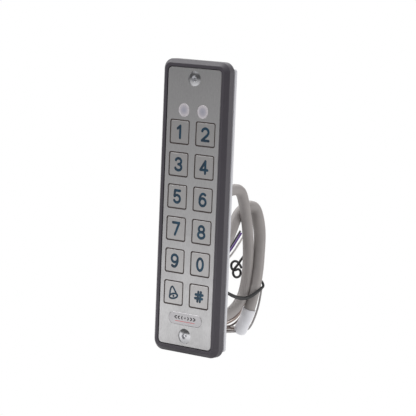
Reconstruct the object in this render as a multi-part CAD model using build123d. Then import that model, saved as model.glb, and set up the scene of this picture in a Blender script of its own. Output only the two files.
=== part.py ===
from build123d import *
import math
import os

# RFID card reader with a keypad, slim enough for a door frame.
# +Z is up, the front looks along -Y, +X is to the right seen from the front.
# The origin is at the middle of the bottom, on the surface the reader stands on.
# Depths are counted from the front rim towards the wall, and the cable's places from the back face.

# ---- Driving dimensions (mm) ----
WIDTH = 42.0
HEIGHT = 150.0
DEPTH = 8.4
CORNER_R = 5.5

BEZEL_DEPTH = 5.7
BEZEL_CHAMFER = 2.0
RIM = 4.0
PLATE_GAP = 0.35
PLATE_SET_BACK = 0.25
PLATE_THICK = 1.2
PLATE_CORNER_R = 2.2
GASKET_THICK = 0.3
BEZEL_WALL = 3.5
END_BLOCK = 13.0
LEDGE_END = 3.0

KEY_PITCH = 16.5
KEY_SIDE = 11.5
KEY_CORNER_R = 0.9
KEY_GAP = 0.3
KEY_LIP = 0.75
KEY_LIP_THICK = 0.45
KEY_LIP_CLEARANCE = 0.45
KEY_CHAMFER = 0.2
KEY_RUNNING_GAP = 0.05
KEY_TRAVEL = 0.4
KEY_ROWS = 6
KEYPAD_MID_Z = 72.0
STEM_R = 1.5
STEM_GAP = 0.3
DOME_R = 3.0
DOME_THICK = 0.25
DOME_BEVEL = 1.2
DOME_GAP = 0.02
GUIDE_THICK = 1.0
GUIDE_GAP = 0.2

LIGHT_SPACING = 12.0
LIGHT_ABOVE_KEYS = 5.5
LIGHT_R = 3.5
LIGHT_FIT = 0.05
LIGHT_LIP = 0.7
LIGHT_LIP_THICK = 0.5
LED_SIDE = 3.0
LED_TALL = 0.9

BADGE_WIDTH = 21.3
BADGE_HEIGHT = 6.2
BADGE_BELOW_KEYS = 7.0
BADGE_SUNK = 0.3
BADGE_GAP = 0.1
BADGE_PROUD = 0.15

SCREW_END = 9.2
SCREW_HEAD_R = 3.75
SCREW_HEAD_GAP = 0.15
SCREW_R = 2.0
SCREW_NECK = 0.05
SCREW_CLEARANCE = 0.25
SCREW_OUT = 3.6
SOCKET_ACROSS = 3.0
SOCKET_DEEP = 1.1
SOCKET_PIN_R = 0.5

BOARD_THICK = 1.0
BOARD_GAP = 0.25
BOARD_SCREW_X = 12.0
BOARD_SCREW_R = 0.9
BOARD_SCREW_HEAD_R = 1.4
BOARD_SCREW_HEAD = 0.9

COVER_END = 3.2
COVER_CORNER_R = 1.5
COVER_FLOOR = 1.0
COVER_WALL = 4.0
COVER_CHAMFER = 0.6
COVER_INSET = 0.25
COVER_INSET_DEEP = 0.6
SEAL_WIDTH = 1.0
SEAL_DEEP = 0.7
SEAL_EDGE = 1.3
SEAL_CORNER_R = 1.5
COVER_SCREW_X = 13.0
COVER_SCREW_END = 7.5
COVER_SCREW_R = 1.1
COVER_SCREW_HEAD_R = 2.2
COVER_SCREW_BITE = 2.6

CABLE_D = 5.9
CABLE_EXIT_Z = 80.8
GLAND_WALL = 1.65
GLAND_FIT = 0.1
GLAND_LIP = 1.4
GLAND_LIP_THICK = 0.7
GLAND_NOSE = 3.2
GLAND_NOSE_WALL = 0.85
SLEEVE_WALL = 0.65
LEADS_R = 1.65
COIL_LEFT = 6.9
COIL_RIGHT = 11.4
TIE_THICK = 1.4
TIE_Z = 30.0
TAMPER_Z = 104.0
TAMPER_R = 1.5

# ---- Places worked out from the sizes ----
Y_FRONT = -(DEPTH + SCREW_OUT) / 2
Y_BACK = Y_FRONT + DEPTH
MID_Z = HEIGHT / 2
PLATE_BACK = PLATE_SET_BACK + PLATE_THICK
LEDGE_FRONT = PLATE_BACK + GASKET_THICK
PLATE_WIDTH = WIDTH - 2 * RIM
PLATE_HEIGHT = HEIGHT - 2 * RIM
KEY_LIP_FRONT = PLATE_BACK + KEY_RUNNING_GAP
KEY_LIP_BACK = KEY_LIP_FRONT + KEY_LIP_THICK
GUIDE_FRONT = KEY_LIP_BACK + KEY_TRAVEL + KEY_RUNNING_GAP
GUIDE_BACK = GUIDE_FRONT + GUIDE_THICK
BOARD_FRONT = GUIDE_BACK + DOME_THICK
BOARD_BACK = BOARD_FRONT + BOARD_THICK
STEM_END = GUIDE_BACK - KEY_TRAVEL - DOME_GAP
OPENING_WIDTH = KEY_PITCH + KEY_SIDE + 2 * (KEY_LIP + KEY_LIP_CLEARANCE)
OPENING_HEIGHT = HEIGHT - 2 * (END_BLOCK + LEDGE_END)
POCKET_WIDTH = WIDTH - 2 * BEZEL_WALL
POCKET_HEIGHT = HEIGHT - 2 * END_BLOCK
KEYS_HEIGHT = (KEY_ROWS - 1) * KEY_PITCH + KEY_SIDE + 2 * KEY_LIP
GUIDE_WIDTH = OPENING_WIDTH - 2 * GUIDE_GAP
GUIDE_HEIGHT = KEYS_HEIGHT + 2.0
COVER_HEIGHT = HEIGHT - 2 * COVER_END
COVER_CAVITY_BACK = DEPTH - COVER_FLOOR
COVER_CAVITY_WIDTH = WIDTH - 2 * COVER_WALL
KEYPAD_HALF = (KEY_ROWS - 1) / 2 * KEY_PITCH
LIGHT_Z = KEYPAD_MID_Z + KEYPAD_HALF + KEY_SIDE / 2 + LIGHT_ABOVE_KEYS
BADGE_Z = KEYPAD_MID_Z - KEYPAD_HALF - KEY_SIDE / 2 - BADGE_BELOW_KEYS
GLAND_R = CABLE_D / 2 + GLAND_WALL
GLAND_NOSE_R = CABLE_D / 2 + GLAND_NOSE_WALL
SLEEVE_R = CABLE_D / 2 + SLEEVE_WALL
SCREW_PLACES = ((0, SCREW_END), (0, HEIGHT - SCREW_END))
BOARD_SCREW_END = END_BLOCK + LEDGE_END / 2
KEY_NAMES = ("1", "2", "3", "4", "5", "6", "7", "8", "9", "0", "bell", "hash")


# ---- Solids seen from the front ----
def facing(depth):
    """Plane at a depth behind the front rim, looking out of the front."""
    return Plane(origin=(0, Y_FRONT + depth, 0), x_dir=(1, 0, 0), z_dir=(0, -1, 0))


def slab(width, height, radius, front, back, x=0.0, z=MID_Z):
    """Rounded rectangle between two depths."""
    outline = RectangleRounded(width, height, radius) if radius else Rectangle(width, height)
    return extrude(facing(back) * Pos(x, z) * outline, amount=back - front)


def disc(radius, front, back, x=0.0, z=MID_Z):
    """Round bar between two depths, lying along Y."""
    return extrude(facing(back) * Pos(x, z) * Circle(radius), amount=back - front)


def cone(front_r, back_r, front, back, x, z):
    """Tapered round bar between two depths, lying along Y."""
    sketch = facing(back) * Pos(x, z)
    return loft([sketch * Circle(back_r), sketch * Pos(0, 0, back - front) * Circle(front_r)])


def ring(width, height, radius, band, front, back):
    """Rounded rectangular frame, band wide, between two depths."""
    inner_r = max(radius - band, 0.3)
    inside = slab(width - 2 * band, height - 2 * band, inner_r, front, back)
    return slab(width, height, radius, front, back) - inside


def all_corners(x, low_z):
    """The four places at one distance from the middle line and from both ends."""
    return [(sx * x, z) for sx in (-1, 1) for z in (low_z, HEIGHT - low_z)]


def at_depth(shape, depth):
    """Edges of a shape that lie in the plane at one depth."""
    return [e for e in shape.edges() if all(abs(v.Y - Y_FRONT - depth) < 1e-4 for v in e.vertices())]


def save(shape, name):
    shape.label = name
    export_step(shape, f"parts/{name}.step")


def save_group(shapes, name):
    save(Compound(children=[s.solid() for s in shapes]), name)


# ---- Case ----
def front_bezel():
    """Dark moulded frame: a flat rim, a chamfer, a ledge for the plate and two solid ends for the screws."""
    window = (PLATE_WIDTH + 2 * PLATE_GAP, PLATE_HEIGHT + 2 * PLATE_GAP, PLATE_CORNER_R + PLATE_GAP)
    body = slab(WIDTH, HEIGHT, CORNER_R, 0, BEZEL_DEPTH)
    body = chamfer(at_depth(body, 0), length=BEZEL_CHAMFER)
    body -= slab(*window, 0, LEDGE_FRONT)
    body -= slab(OPENING_WIDTH, OPENING_HEIGHT, 1.5, LEDGE_FRONT, BOARD_FRONT)
    body -= slab(POCKET_WIDTH, POCKET_HEIGHT, 1.5, BOARD_FRONT, BEZEL_DEPTH)
    for x, z in SCREW_PLACES:
        body -= disc(SCREW_R + SCREW_CLEARANCE, 0, BEZEL_DEPTH, x, z)
        body -= head_seat(x, z)
    for x, z in all_corners(COVER_SCREW_X, COVER_SCREW_END):
        body -= disc(COVER_SCREW_R, BEZEL_DEPTH - COVER_SCREW_BITE, BEZEL_DEPTH, x, z)
    for x, z in all_corners(BOARD_SCREW_X, BOARD_SCREW_END):
        body -= disc(BOARD_SCREW_R, LEDGE_FRONT + 0.3, BOARD_FRONT, x, z)
    return body


def head_seat(x, z):
    """Room for one countersunk head, a named clearance larger than the head all round."""
    wide = SCREW_HEAD_R + SCREW_HEAD_GAP
    narrow = SCREW_R + SCREW_CLEARANCE
    start = PLATE_SET_BACK + 0.3
    return disc(wide, 0, start, x, z) + cone(wide, narrow, start, start + wide - narrow, x, z)


def face_plate():
    """Brushed metal front with the key windows, light holes, badge recess and countersinks."""
    plate = slab(PLATE_WIDTH, PLATE_HEIGHT, PLATE_CORNER_R, PLATE_SET_BACK, PLATE_BACK)
    plate = chamfer(at_depth(plate, PLATE_SET_BACK), length=0.15)
    window = KEY_SIDE + 2 * KEY_GAP
    for x, z in key_places():
        plate -= slab(window, window, KEY_CORNER_R + KEY_GAP, 0, PLATE_BACK, x, z)
    for side in (-1, 1):
        plate -= disc(LIGHT_R + LIGHT_FIT, 0, PLATE_BACK, side * LIGHT_SPACING / 2, LIGHT_Z)
    recess = (BADGE_WIDTH + 2 * BADGE_GAP, BADGE_HEIGHT + 2 * BADGE_GAP)
    plate -= slab(*recess, recess[1] / 2 - 0.01, 0, PLATE_SET_BACK + BADGE_SUNK, 0, BADGE_Z)
    for x, z in SCREW_PLACES:
        plate -= head_seat(x, z)
        plate -= disc(SCREW_R + SCREW_CLEARANCE, 0, PLATE_BACK, x, z)
    return plate


def plate_gasket():
    """Thin gasket between the face plate and the bezel's ledge."""
    gasket = slab(PLATE_WIDTH, PLATE_HEIGHT, PLATE_CORNER_R, PLATE_BACK, LEDGE_FRONT)
    gasket -= slab(OPENING_WIDTH, OPENING_HEIGHT, 1.5, PLATE_BACK, LEDGE_FRONT)
    for x, z in SCREW_PLACES:
        gasket -= disc(SCREW_HEAD_R + SCREW_HEAD_GAP, PLATE_BACK, LEDGE_FRONT, x, z)
    return gasket


def badge():
    """Plain oval badge, slightly proud of the plate."""
    sunk = PLATE_SET_BACK + BADGE_SUNK
    proud = PLATE_SET_BACK - BADGE_PROUD
    oval = slab(BADGE_WIDTH, BADGE_HEIGHT, BADGE_HEIGHT / 2 - 0.01, proud, sunk, 0, BADGE_Z)
    return chamfer(at_depth(oval, proud), length=0.12)


def mounting_screw(x, z):
    """Countersunk tamper-proof wall screw: low dome, hexagon socket with a centre pin."""
    start = PLATE_SET_BACK + 0.3
    seat = start + SCREW_HEAD_R - SCREW_R
    crown = Rot(90, 0, 0) * Sphere(SCREW_HEAD_R * 4)
    crown = Pos(x, Y_FRONT + 0.02 + SCREW_HEAD_R * 4, z) * crown
    head = disc(SCREW_HEAD_R, 0, start, x, z) & crown
    head += cone(SCREW_HEAD_R, SCREW_R - SCREW_NECK, start, seat + SCREW_NECK, x, z)
    shank = disc(SCREW_R - SCREW_NECK, seat, DEPTH + 0.4, x, z)
    thread = disc(SCREW_R, DEPTH + 0.4, DEPTH + SCREW_OUT, x, z)
    thread = chamfer(at_depth(thread, DEPTH + SCREW_OUT), length=0.5)
    hexagon = facing(SOCKET_DEEP) * Pos(x, z) * RegularPolygon(SOCKET_ACROSS / 2, 6, major_radius=False)
    socket = extrude(hexagon, amount=SOCKET_DEEP) - disc(SOCKET_PIN_R, 0.3, SOCKET_DEEP, x, z)
    return head + shank + thread - socket


def rear_cover():
    """Light grey back of the case, shorter than the bezel: a shallow tray with the cable hole and a tamper window."""
    lip_end = BEZEL_DEPTH + COVER_INSET_DEEP
    cover = slab(WIDTH, COVER_HEIGHT, COVER_CORNER_R, lip_end, DEPTH)
    cover = chamfer(at_depth(cover, DEPTH), length=COVER_CHAMFER)
    inset = 2 * COVER_INSET
    cover += slab(WIDTH - inset, COVER_HEIGHT - inset, COVER_CORNER_R - COVER_INSET, BEZEL_DEPTH, lip_end)
    cover -= slab(COVER_CAVITY_WIDTH, POCKET_HEIGHT, 1.5, BEZEL_DEPTH, COVER_CAVITY_BACK)
    cover -= seal_band(SEAL_WIDTH + 0.2, SEAL_EDGE)
    cover -= disc(GLAND_R + GLAND_FIT, 0, DEPTH, 0, CABLE_EXIT_Z)
    cover -= disc(TAMPER_R + LIGHT_FIT, 0, DEPTH, 0, TAMPER_Z)
    for x, z in SCREW_PLACES:
        cover -= disc(SCREW_R + SCREW_CLEARANCE, 0, DEPTH, x, z)
    for x, z in all_corners(COVER_SCREW_X, COVER_SCREW_END):
        cover -= cover_screw(x, z)
    return cover


def seal_band(band, edge):
    """Band that runs round inside the cover's outline, between the bezel and the cover."""
    wide = WIDTH - 2 * edge
    tall = COVER_HEIGHT - 2 * edge
    return ring(wide, tall, SEAL_CORNER_R, band, BEZEL_DEPTH, BEZEL_DEPTH + SEAL_DEEP)


def rear_seal():
    return seal_band(SEAL_WIDTH, SEAL_EDGE + 0.1)


def cover_screw(x, z):
    """Countersunk screw from the back of the cover into the bezel."""
    seat = DEPTH - COVER_SCREW_HEAD_R + COVER_SCREW_R
    head = cone(COVER_SCREW_R, COVER_SCREW_HEAD_R, seat, DEPTH, x, z)
    return head + disc(COVER_SCREW_R, BEZEL_DEPTH - COVER_SCREW_BITE, seat, x, z)


def slotted(screw, x, z):
    """Cut a cross recess into the back of a cover screw."""
    for long, short in ((2.2, 0.45), (0.45, 2.2)):
        screw -= slab(long, short, 0, DEPTH - 0.7, DEPTH, x, z)
    return screw


# ---- Keypad ----
def key_places():
    """Key centres, row by row from the top, left then right."""
    top_z = KEYPAD_MID_Z + KEYPAD_HALF
    return [(side * KEY_PITCH / 2, top_z - row * KEY_PITCH) for row in range(KEY_ROWS) for side in (-1, 1)]


def key(x, z):
    """Metal key: cap in its window, lip behind the plate, stem down to the dome."""
    cap = slab(KEY_SIDE, KEY_SIDE, KEY_CORNER_R, PLATE_SET_BACK - 0.05, KEY_LIP_FRONT, x, z)
    cap = chamfer(at_depth(cap, PLATE_SET_BACK - 0.05), length=KEY_CHAMFER)
    lip = slab(KEY_SIDE + 2 * KEY_LIP, KEY_SIDE + 2 * KEY_LIP, KEY_CORNER_R, KEY_LIP_FRONT, KEY_LIP_BACK, x, z)
    return cap + lip + disc(STEM_R, KEY_LIP_BACK, STEM_END, x, z)


def key_guide():
    """Plastic plate behind the keys that keeps the stems square and stops the lips."""
    guide = slab(GUIDE_WIDTH, GUIDE_HEIGHT, 1.0, GUIDE_FRONT, GUIDE_BACK, 0, KEYPAD_MID_Z)
    for x, z in key_places():
        guide -= disc(STEM_R + STEM_GAP, GUIDE_FRONT, GUIDE_BACK, x, z)
    return guide


def dome_film():
    """Spacer film on the board, with a hole for each snap dome."""
    film = slab(GUIDE_WIDTH, GUIDE_HEIGHT, 1.0, GUIDE_BACK, BOARD_FRONT, 0, KEYPAD_MID_Z)
    for x, z in key_places():
        film -= disc(DOME_R + STEM_GAP, GUIDE_BACK, BOARD_FRONT, x, z)
    return film


def snap_dome(x, z):
    """Round metal snap dome with a bevelled edge."""
    return cone(DOME_R - DOME_BEVEL, DOME_R, GUIDE_BACK, BOARD_FRONT, x, z)


# ---- Lights ----
def light_window(x):
    """Frosted light pipe in the plate, held by a lip behind it."""
    pipe = disc(LIGHT_R, PLATE_SET_BACK, PLATE_BACK, x, LIGHT_Z)
    pipe = fillet(at_depth(pipe, PLATE_SET_BACK), radius=0.15)
    return pipe + disc(LIGHT_R + LIGHT_LIP, PLATE_BACK, PLATE_BACK + LIGHT_LIP_THICK, x, LIGHT_Z)


def status_led(x):
    """Small surface-mount lamp on the front of the board."""
    body = slab(LED_SIDE, LED_SIDE, 0.3, BOARD_FRONT - LED_TALL + 0.2, BOARD_FRONT, x, LIGHT_Z)
    return body + disc(1.1, BOARD_FRONT - LED_TALL, BOARD_FRONT - LED_TALL + 0.2, x, LIGHT_Z)


# ---- Electronics ----
def circuit_board():
    width = POCKET_WIDTH - 2 * BOARD_GAP
    height = POCKET_HEIGHT - 2 * BOARD_GAP
    board = slab(width, height, 1.2, BOARD_FRONT, BOARD_BACK)
    for x, z in all_corners(BOARD_SCREW_X, BOARD_SCREW_END):
        board -= disc(BOARD_SCREW_R + 0.15, BOARD_FRONT, BOARD_BACK, x, z)
    return board


def board_screw(x, z):
    """Pan-head screw that holds the board to the bezel's ledge."""
    head = disc(BOARD_SCREW_HEAD_R, BOARD_BACK, BOARD_BACK + BOARD_SCREW_HEAD, x, z)
    return head + disc(BOARD_SCREW_R, LEDGE_FRONT + 0.3, BOARD_BACK, x, z)


def antenna_coil():
    """Flat wound aerial on the back of the board."""
    outer = slab(30, 58, 5, BOARD_BACK, BOARD_BACK + 0.9, 0, 46)
    return outer - slab(25, 53, 3, BOARD_BACK, BOARD_BACK + 0.9, 0, 46)


def buzzer():
    """Round sounder with a hole in its lid."""
    can = disc(5.5, BOARD_BACK, BOARD_BACK + 2.0, -8, 116)
    can = fillet(at_depth(can, BOARD_BACK + 2.0), radius=0.4)
    return can - disc(0.8, BOARD_BACK + 1.2, BOARD_BACK + 2.0, -8, 116)


def leaded_chip(side, legs, tall, x, z):
    """Square flat chip with a row of legs on each of two sides."""
    chip = slab(side, side, 0.2, BOARD_BACK + 0.1, BOARD_BACK + tall, x, z)
    pitch = side / (legs + 1)
    leg_x = side / 2 + 0.2
    for row in range(legs):
        leg_z = z - side / 2 + pitch * (row + 1)
        for end in (-1, 1):
            chip += slab(0.8, 0.35, 0, BOARD_BACK, BOARD_BACK + 0.4, x + end * leg_x, leg_z)
    return chip


def capacitor(x, z):
    can = disc(1.6, BOARD_BACK + 0.3, BOARD_BACK + 1.9, x, z)
    return can + slab(3.4, 3.4, 0.4, BOARD_BACK, BOARD_BACK + 0.3, x, z)


def crystal():
    lid = slab(2.4, 4.0, 0.4, BOARD_BACK, BOARD_BACK + 1.0, 9, 54)
    return fillet(at_depth(lid, BOARD_BACK + 1.0), radius=0.2)


def wire_header():
    """Row of solder pins that takes the cable's wires."""
    header = slab(14, 2.4, 0.2, BOARD_BACK, BOARD_BACK + 0.9, 0, 92)
    for pin in range(8):
        header += disc(0.35, BOARD_BACK + 0.9, BOARD_BACK + 1.5, (pin - 3.5) * 1.7, 92)
    return header


def tamper_sensor():
    """Light sensor that notices when the reader is taken off its wall."""
    base = slab(3.6, 3.6, 0.3, BOARD_BACK, BOARD_BACK + 0.9, 0, TAMPER_Z)
    return base + disc(1.0, BOARD_BACK + 0.9, BOARD_BACK + 1.5, 0, TAMPER_Z)


def tamper_window():
    """Clear plug in the back cover, in front of the tamper sensor."""
    plug = disc(TAMPER_R, COVER_CAVITY_BACK, DEPTH, 0, TAMPER_Z)
    return plug + disc(TAMPER_R + 0.6, COVER_CAVITY_BACK - 0.4, COVER_CAVITY_BACK, 0, TAMPER_Z)


# ---- Cable ----
def behind(x, back, z):
    """Point given by its distance behind the back face."""
    return Vector(x, Y_BACK + back, z)


def bar_between(radius, start, end):
    """Round bar from one point to another."""
    path = Line(start, end)
    return sweep(Plane(origin=start, z_dir=end - start) * Circle(radius), path=path)


def cable_gland():
    """Rubber grommet: a lip inside the cover and a tapered nose round the cable."""
    lip_front = COVER_CAVITY_BACK - GLAND_LIP_THICK
    gland = disc(GLAND_R + GLAND_LIP, lip_front, COVER_CAVITY_BACK, 0, CABLE_EXIT_Z)
    gland += disc(GLAND_R, COVER_CAVITY_BACK, DEPTH + 0.6, 0, CABLE_EXIT_Z)
    gland += cone(GLAND_R, GLAND_NOSE_R, DEPTH + 0.6, DEPTH + GLAND_NOSE, 0, CABLE_EXIT_Z)
    return gland - disc(CABLE_D / 2, lip_front, DEPTH + GLAND_NOSE, 0, CABLE_EXIT_Z)


# The coil seen from the side, as distances behind the back face and heights.
COIL_START = 24.0
COIL_TOP_EDGE = CABLE_EXIT_Z + CABLE_D / 2 + 0.4
COIL_LOW_EDGE = CABLE_EXIT_Z - CABLE_D / 2 - 0.4
COIL_OUTER = ((31.0, 85.0), (37.0, 82.0), (41.2, 77.0), (48.0, 74.6), (54.5, 71.6), (56.6, 65.5), (55.2, 57.5),
              (52.4, 47.5), (50.0, 39.0), (47.6, 29.0), (44.6, 20.0), (35.0, 15.2), (27.0, 11.8), (19.5, 11.0),
              (10.3, 15.8), (5.7, 26.0), (6.2, 36.0), (10.8, 45.7), (17.8, 52.4), (24.4, 59.0), (29.6, 65.5),
              (32.2, 71.0), (30.5, 76.4))
COIL_INNER = ((39.2, 58.0), (39.4, 49.0), (38.6, 39.0), (35.2, 29.7), (29.3, 22.7), (21.0, 17.8), (14.0, 21.7),
              (12.0, 31.0), (15.4, 39.8), (22.9, 47.3), (30.0, 54.6), (35.2, 61.6))
SLEEVE_TOP = (4.2, 42.0, 20.0)
SLEEVE_END = (-2.6, 42.9, 6.4)
LEADS_ROUTE = ((-2.6, 42.9, 6.4), (-4.4, 43.14, 2.8), (-10.5, 35.0, 3.6), (-11.5, 20.0, 4.8), (-12.2, 7.4, 8.0),
               (-12.4, 7.2, 18.0), (-11.6, 12.0, 30.0), (-11.2, 24.0, 37.5), (-11.2, 38.5, 45.0), (-11.0, 50.0, 58.5))


def cable_lead():
    """Cable from inside the cover to where its coil starts."""
    inside = behind(0, COVER_CAVITY_BACK - GLAND_LIP_THICK - DEPTH, CABLE_EXIT_Z)
    return bar_between(CABLE_D / 2, inside, behind(0, COIL_START, CABLE_EXIT_Z))


def cable_coil():
    """Outer shape of the tied coil behind the reader: a closed ring as wide as its turns side by side."""
    side = Plane(origin=(COIL_RIGHT, Y_BACK, 0), x_dir=(0, 1, 0), z_dir=(1, 0, 0))
    top = (COIL_START, COIL_TOP_EDGE)
    low = (COIL_START, COIL_LOW_EDGE)
    round_side = Spline([top, *COIL_OUTER, low])
    outline = make_face(Wire([round_side, Line(low, top)]))
    hole = make_face(Wire([Spline(list(COIL_INNER), periodic=True)]))
    return extrude(side * (outline - hole), amount=-(COIL_LEFT + COIL_RIGHT))


def cable_sleeve():
    """White sleeve shrunk over the end of the jacket."""
    return bar_between(SLEEVE_R, behind(*SLEEVE_TOP), behind(*SLEEVE_END))


def fillet_radii(points):
    """Arc radius at each corner: 0.45 of the shorter run over the tangent of half the turn."""
    radii = []
    for before, corner, after in zip(points, points[1:], points[2:]):
        first, second = corner - before, after - corner
        half_turn = math.radians(first.get_angle(second)) / 2
        radii.append(0.45 * min(first.length, second.length) / math.tan(half_turn))
    return radii


def lead_bundle():
    """Loose wires that leave the sleeve, lie on the floor and turn up behind the reader."""
    points = [behind(*p) for p in LEADS_ROUTE]
    radii = fillet_radii(points)
    print("lead_bundle radii", [round(r, 1) for r in radii])
    path = FilletPolyline(*points, radius=radii)
    tube = sweep(Plane(origin=points[0], z_dir=points[1] - points[0]) * Circle(LEADS_R), path=path)
    section = math.pi * LEADS_R ** 2 * path.length
    print("lead_bundle volume", round(tube.volume, 1), "section times length", round(section, 1))
    return tube


def cable_tie():
    """Black twist tie round the waist of the coil."""
    low_y = 5.8
    high_y = 49.4
    belt = Plane(origin=(0, Y_BACK, TIE_Z))
    wide = COIL_LEFT + COIL_RIGHT + 2 * TIE_THICK
    deep = high_y - low_y + 2 * TIE_THICK
    centre = ((COIL_RIGHT - COIL_LEFT) / 2, (low_y + high_y) / 2)
    outer = belt * Pos(*centre) * RectangleRounded(wide, deep, 4)
    inner = belt * Pos(*centre) * RectangleRounded(wide - 2 * TIE_THICK, deep - 2 * TIE_THICK, 2.6)
    return extrude(outer - inner, amount=TIE_THICK)


# ---- Write every node ----
os.makedirs("parts", exist_ok=True)

save(front_bezel(), "front_bezel")
save(face_plate(), "face_plate")
save(plate_gasket(), "plate_gasket")
save(badge(), "oval_badge")
save(mounting_screw(*SCREW_PLACES[0]), "wall_screw_bottom")
save(mounting_screw(*SCREW_PLACES[1]), "wall_screw_top")
save(rear_cover(), "rear_cover")
save(rear_seal(), "rear_seal")
save_group([slotted(cover_screw(x, z), x, z) for x, z in all_corners(COVER_SCREW_X, COVER_SCREW_END)],
           "cover_screws")

for name, (x, z) in zip(KEY_NAMES, key_places()):
    save(key(x, z), f"key_{name}")
save(key_guide(), "key_guide")
save(dome_film(), "dome_film")
save_group([snap_dome(x, z) for x, z in key_places()], "snap_domes")

save(light_window(-LIGHT_SPACING / 2), "light_window_left")
save(light_window(LIGHT_SPACING / 2), "light_window_right")
save_group([status_led(side * LIGHT_SPACING / 2) for side in (-1, 1)], "status_leds")

save(circuit_board(), "circuit_board")
save_group([board_screw(x, z) for x, z in all_corners(BOARD_SCREW_X, BOARD_SCREW_END)], "board_screws")
save(antenna_coil(), "antenna_coil")
save(buzzer(), "buzzer")
save(leaded_chip(7.0, 8, 1.1, 0, 60), "controller_chip")
save(leaded_chip(5.0, 5, 1.0, -6, 34), "radio_chip")
save(leaded_chip(3.0, 2, 1.0, 8, 112), "voltage_regulator")
save_group([capacitor(x, z) for x, z in ((6, 34), (11, 118), (11, 124))], "capacitors")
save(crystal(), "clock_crystal")
save(wire_header(), "wire_header")
save(tamper_sensor(), "tamper_sensor")
save(tamper_window(), "tamper_window")

save(cable_gland(), "cable_gland")
save(cable_lead(), "cable_lead")
save(cable_coil(), "cable_coil")
save(cable_sleeve(), "cable_sleeve")
save(lead_bundle(), "lead_bundle")
save(cable_tie(), "cable_tie")
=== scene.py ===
"""Card reader with a keypad, its coiled cable and loose wires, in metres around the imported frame."""

import math

import bmesh
import bpy
import numpy as np
from mathutils import Matrix, Vector


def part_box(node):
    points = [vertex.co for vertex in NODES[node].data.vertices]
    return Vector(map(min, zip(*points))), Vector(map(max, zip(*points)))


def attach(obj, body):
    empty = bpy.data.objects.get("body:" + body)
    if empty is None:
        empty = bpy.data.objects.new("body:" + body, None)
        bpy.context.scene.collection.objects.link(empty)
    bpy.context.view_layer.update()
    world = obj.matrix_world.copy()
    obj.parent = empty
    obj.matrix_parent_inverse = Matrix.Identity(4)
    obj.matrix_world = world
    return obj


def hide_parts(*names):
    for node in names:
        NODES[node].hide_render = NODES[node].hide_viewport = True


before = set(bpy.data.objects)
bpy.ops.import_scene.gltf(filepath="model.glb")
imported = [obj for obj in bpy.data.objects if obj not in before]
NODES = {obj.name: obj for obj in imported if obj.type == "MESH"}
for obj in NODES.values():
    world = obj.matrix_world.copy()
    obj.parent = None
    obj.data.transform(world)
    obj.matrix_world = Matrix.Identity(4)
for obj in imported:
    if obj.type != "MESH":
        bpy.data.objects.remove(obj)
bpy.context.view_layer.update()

MM = 0.001
Y_FRONT = -6.0  # front face of the plate, mm
Y_BACK = 2.4  # back face of the cover, mm
READER = "reader"

# ---- Camera: degrees, metres and the lens in millimetres ----
AZIMUTH = 37.746
ELEVATION = 7.256
ROLL = 2.330
DISTANCE = 1.0918
AIM = (0.00716, 0.00033, 0.07559)
LENS = 186.57
SENSOR = 36.0
CLIP = (0.05, 60.0)

# ---- Cable sizes and places, in millimetres as (across, behind the back face, height) ----
CABLE_D = 5.9
WIRE_D = 1.1
TIE_D = 1.5
SLEEVE_R = 3.4
SLEEVE_LENGTH = 13.6


def place(points):
    """Points (across, behind the back face, height) in millimetres as metres: x, y + Y_BACK, z."""
    p = np.array(points, float)
    return np.stack([p[..., 0], p[..., 1] + Y_BACK, p[..., 2]], -1) * MM


def tone(red, green, blue):
    """Screen colour from 0 to 255 as the linear colour that a shader takes.

    With c the colour over 255, that is c / 12.92 up to 0.04045, and ((c + 0.055) / 1.055) to the power 2.4
    above it.
    """
    c = np.array([red, green, blue]) / 255
    return (*np.where(c <= 0.04045, c / 12.92, ((c + 0.055) / 1.055) ** 2.4).tolist(), 1.0)


# ---- Camera, world, floor and lights ----
def add_camera():
    """Camera that looks at AIM from the given angles, rolled a little."""
    a, e, r = (math.radians(v) for v in (AZIMUTH, ELEVATION, ROLL))
    back = Vector((math.sin(a) * math.cos(e), -math.cos(a) * math.cos(e), math.sin(e)))
    right = Vector((0, 0, 1)).cross(back).normalized()
    up = back.cross(right)
    x_axis = math.cos(r) * right + math.sin(r) * up
    y_axis = -math.sin(r) * right + math.cos(r) * up
    data = bpy.data.cameras.new("camera")
    data.lens, data.sensor_width = LENS, SENSOR
    data.clip_start, data.clip_end = CLIP
    camera = bpy.data.objects.new("camera", data)
    bpy.context.collection.objects.link(camera)
    turn = Matrix((x_axis, y_axis, back)).transposed().to_4x4()
    camera.matrix_world = Matrix.Translation(Vector(AIM) + DISTANCE * back) @ turn
    bpy.context.scene.camera = camera


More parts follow.
